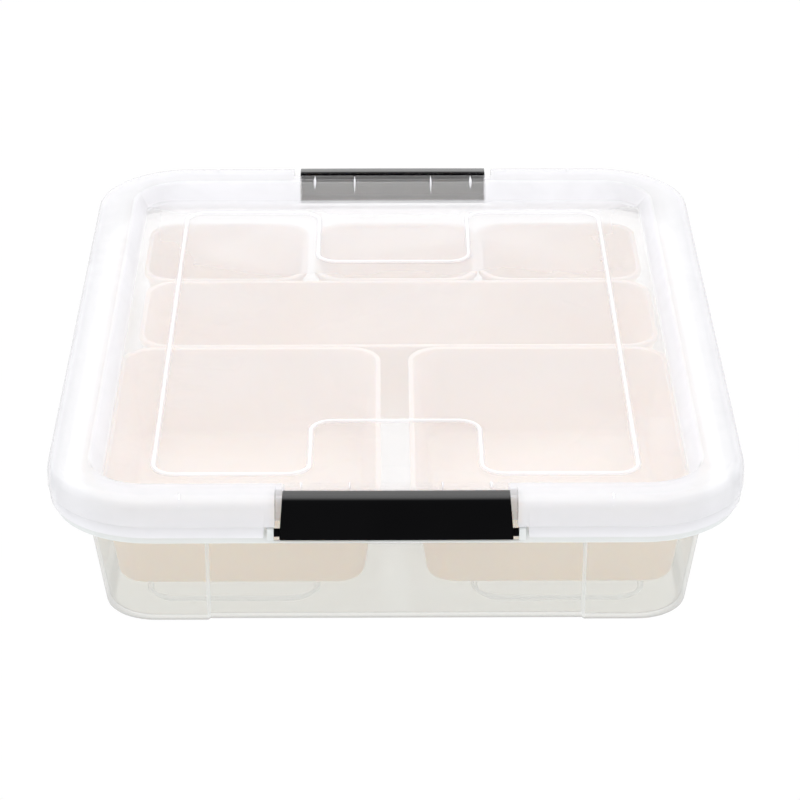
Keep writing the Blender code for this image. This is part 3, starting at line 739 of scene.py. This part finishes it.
def clip_sections():
    """The clip's closed section, plain and with the deeper lip of its middle stretch."""
    barrel = [(PIVOT[0] - 1.4, -16.9, 0.4), (PIVOT[0], -17.0, 0.9), (PIVOT[0] + 2.2, -17.4, 1.9),
              (PIVOT[0] + 2.2, -21.4, 2.0), (1.2, -21.9, 0.6), (0.0, -21.9, 0.8), (0.0, -12.0, 0.3)]
    outside = [(0.0, -0.55, 3.0), (6.0, -0.3, 6.0), (9.3, 0.0, 0.5)]
    inside = [(6.3, -7.4, 0.25), (6.0, -1.9, 1.0), (3.9, -1.9, 1.5), (2.0, -4.6, 1.5), (2.0, -16.0, 0.8)]
    plain = [(9.25, -3.6, 0.4), (7.65, -7.4, 0.25)]
    deep = [(9.25, -5.4, 0.4), (8.35, -7.4, 0.25)]
    loops = []
    for lip in (plain, deep):
        corners = outside + lip + inside + barrel
        loops.append(filleted([corners[-1]] + corners + [corners[0]])[1:-1])
    return np.stack(loops)


def make_clip(name, node, facing, finish):
    """Carries the section along X.  The last stations shrink it a little towards its own middle
    line, which rounds the ends, and the ends are filled flat."""
    sections = clip_sections()
    half_x = np.array([10.0, 30.0, LIP_HALF - 0.3, LIP_HALF + 0.3,
                       CLIP_HALF - 1.0, CLIP_HALF - 0.5, CLIP_HALF - 0.15, CLIP_HALF])
    x = np.concatenate([-half_x[::-1], half_x])
    edge = (CLIP_HALF - np.abs(x))[:, None]
    pull = 0.5 - np.sqrt(np.clip(0.25 - (0.5 - np.minimum(edge, 0.5)) ** 2, 0.0, None))
    section = sections[(np.abs(x) < LIP_HALF).astype(int)]
    forward = np.roll(section, -1, axis=1) - np.roll(section, 1, axis=1)
    inward = unit(np.stack([forward[..., 1], -forward[..., 0]], -1))
    section = section + inward * pull[..., None] * 0.9
    crown = CLIP_CROWN * (x[:, None] / CLIP_HALF) ** 2
    above_pins = np.clip(section[..., 1] - PIVOT[1], 0.0, None) / -PIVOT[1]
    narrow = 1.0 - CLIP_DRAW_IN / CLIP_HALF * above_pins
    grid = np.stack([x[:, None] * narrow, facing * (DEPTH / 2 - section[..., 0] - crown),
                     RIM_TOP + section[..., 1]], -1) * MM
    grid[..., 0] *= -facing
    sheets = [np.swapaxes(grid, 0, 1)]
    fills = [[(0, 0)], [(0, -1)]]
    round_it = np.linspace(0.0, 2 * math.pi, 33)[:-1][:, None]
    along = np.array([PIN_START, PIN_END - 0.4, PIN_END - 0.1, PIN_END])[None]
    radius = np.array([PIN_RADIUS, PIN_RADIUS, PIN_RADIUS - 0.15, PIN_RADIUS - 0.45])[None]
    for side in (-1, 1):
        pin = np.stack([side * along + 0 * round_it,
                        facing * (DEPTH / 2 - PIVOT[0] - radius * np.cos(round_it)),
                        RIM_TOP + PIVOT[1] + radius * np.sin(round_it)], -1) * MM
        sheets.append(pin)
        fills += [[(len(sheets) - 1, 0)], [(len(sheets) - 1, -1)]]
    clip = build_piece(name, sheets, fills, [finish])
    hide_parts(node)
    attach(clip, node)
    return clip


def black_plastic(name):
    """Black polypropylene: a very fine matt grain on the face, and a polished shoulder and top."""
    finish = bpy.data.materials.new(name)
    finish.use_nodes = True
    nodes, links = finish.node_tree.nodes, finish.node_tree.links
    surface = nodes["Principled BSDF"]
    shader_input(surface, "Specular IOR Level", 0.02)
    shader_input(surface, "Coat Roughness", 0.22)
    place = nodes.new("ShaderNodeTexCoord")
    grain = nodes.new("ShaderNodeTexNoise")
    shader_input(grain, "Scale", 1800.0)
    shader_input(grain, "Detail", 3.0)
    cloud = nodes.new("ShaderNodeTexNoise")
    shader_input(cloud, "Scale", 40.0)
    rough = nodes.new("ShaderNodeMapRange")
    shader_input(rough, "To Min", 0.30)
    shader_input(rough, "To Max", 0.42)
    tone = nodes.new("ShaderNodeMix")
    tone.data_type = "RGBA"
    tone.inputs["A"].default_value = DEEP_BLACK
    tone.inputs["B"].default_value = BLACK
    skin = nodes.new("ShaderNodeBump")
    shader_input(skin, "Strength", 0.12)
    shader_input(skin, "Distance", 0.0001)
    height = nodes.new("ShaderNodeSeparateXYZ")
    polish = nodes.new("ShaderNodeMapRange")
    shader_input(polish, "From Min", (RIM_TOP - 1.3) * MM)
    shader_input(polish, "From Max", (RIM_TOP - 0.4) * MM)
    links.new(place.outputs["Object"], grain.inputs["Vector"])
    links.new(place.outputs["Object"], cloud.inputs["Vector"])
    links.new(place.outputs["Object"], height.inputs["Vector"])
    links.new(height.outputs["Z"], polish.inputs["Value"])
    links.new(polish.outputs["Result"], surface.inputs["Coat Weight"])
    links.new(cloud.outputs["Fac"], rough.inputs["Value"])
    links.new(rough.outputs["Result"], surface.inputs["Roughness"])
    links.new(cloud.outputs["Fac"], tone.inputs["Factor"])
    links.new(tone.outputs["Result"], surface.inputs["Base Color"])
    links.new(grain.outputs["Fac"], skin.inputs["Height"])
    links.new(skin.outputs["Normal"], surface.inputs["Normal"])
    return finish


clip_finish = black_plastic("clip_black_plastic")
make_clip("front_latch", "front_clip", -1, clip_finish)
make_clip("rear_latch", "rear_clip", 1, clip_finish)

# ------------------------------------------------------------------ bins
# Six loose bins in milky beige polypropylene, three small, one long and two large.  Their walls
# lean out by 9 degrees and end in a flat rim with a small overhang.

BIN_LEAN = math.tan(math.radians(8.7))
BIN_FLOOR = 1.3
RIM_WIDTH = 2.8
RIM_DROP = 3.0
OVERHANG = 1.6
BIN_CORNER = 17.0
BEIGE = (0.85, 0.745, 0.67, 1.0)
PALE_BEIGE = (0.87, 0.77, 0.695, 1.0)


def bin_section(tall):
    """From the middle of the underside out, up the outside, over the rim and down inside."""
    inner = RIM_WIDTH + (tall - BIN_FLOOR) * BIN_LEAN
    outer = OVERHANG + (tall - RIM_DROP) * BIN_LEAN
    return filleted([
        (outer + 9.5, 0.0, 0), (outer, 0.0, 7.5), (OVERHANG, tall - RIM_DROP, 0.5),
        (0.0, tall - RIM_DROP + 0.1, 0.3), (0.0, tall, 0.8), (RIM_WIDTH, tall, 0.9),
        (inner, BIN_FLOOR, 6.5), (outer + 9.5, BIN_FLOOR, 0)])


def make_bin(node, finish):
    """The section, run round the rounded rectangle of the node's own box."""
    low, high = (np.array(corner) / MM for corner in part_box(node))
    centre, size = (low + high) / 2, high - low
    section = bin_section(size[2])
    inset, height = section[None, :, 0], section[None, :, 1]
    quarter = np.linspace(0.0, math.pi / 2, 11)
    angle = (np.arange(4)[:, None] * math.pi / 2 - math.pi / 2 + quarter).reshape(-1, 1)
    sign_x = np.repeat([1.0, 1.0, -1.0, -1.0], 11)[:, None]
    sign_y = np.repeat([-1.0, 1.0, 1.0, -1.0], 11)[:, None]
    radius = BIN_CORNER - 0.5 * inset
    x = centre[0] + sign_x * (size[0] / 2 - inset - radius) + radius * np.cos(angle)
    y = centre[1] + sign_y * (size[1] / 2 - inset - radius) + radius * np.sin(angle)
    grid = np.stack([x, y, low[2] + height + 0 * x], -1) * MM
    name = node.replace("_bin", "_beige_bin")
    piece = build_piece(name, [grid], [[(0, 0)], [(0, -1)]], [finish])
    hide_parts(node)
    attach(piece, node)
    return piece


def beige_plastic(name):
    """Milky beige polypropylene: light enters a few millimetres and comes out warmer, the skin is
    satin, and the colour is a little uneven."""
    finish = bpy.data.materials.new(name)
    finish.use_nodes = True
    nodes, links = finish.node_tree.nodes, finish.node_tree.links
    surface = nodes["Principled BSDF"]
    shader_input(surface, "Subsurface Weight", 0.6)
    shader_input(surface, "Subsurface Radius", (1.0, 0.7, 0.45))
    shader_input(surface, "Subsurface Scale", 0.004)
    place = nodes.new("ShaderNodeTexCoord")
    cloud = nodes.new("ShaderNodeTexNoise")
    shader_input(cloud, "Scale", 14.0)
    shader_input(cloud, "Detail", 3.0)
    tone = nodes.new("ShaderNodeMix")
    tone.data_type = "RGBA"
    tone.inputs["A"].default_value = BEIGE
    tone.inputs["B"].default_value = PALE_BEIGE
    rough = nodes.new("ShaderNodeMapRange")
    shader_input(rough, "To Min", 0.38)
    shader_input(rough, "To Max", 0.50)
    grain = nodes.new("ShaderNodeTexNoise")
    shader_input(grain, "Scale", 900.0)
    skin = nodes.new("ShaderNodeBump")
    shader_input(skin, "Strength", 0.08)
    shader_input(skin, "Distance", 0.0001)
    links.new(place.outputs["Object"], cloud.inputs["Vector"])
    links.new(place.outputs["Object"], grain.inputs["Vector"])
    links.new(cloud.outputs["Fac"], tone.inputs["Factor"])
    links.new(tone.outputs["Result"], surface.inputs["Base Color"])
    links.new(cloud.outputs["Fac"], rough.inputs["Value"])
    links.new(rough.outputs["Result"], surface.inputs["Roughness"])
    links.new(grain.outputs["Fac"], skin.inputs["Height"])
    links.new(skin.outputs["Normal"], surface.inputs["Normal"])
    return finish


bin_finish = beige_plastic("bin_beige_plastic")
for bin_node in [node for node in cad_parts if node.endswith("_bin")]:
    make_bin(bin_node, bin_finish)
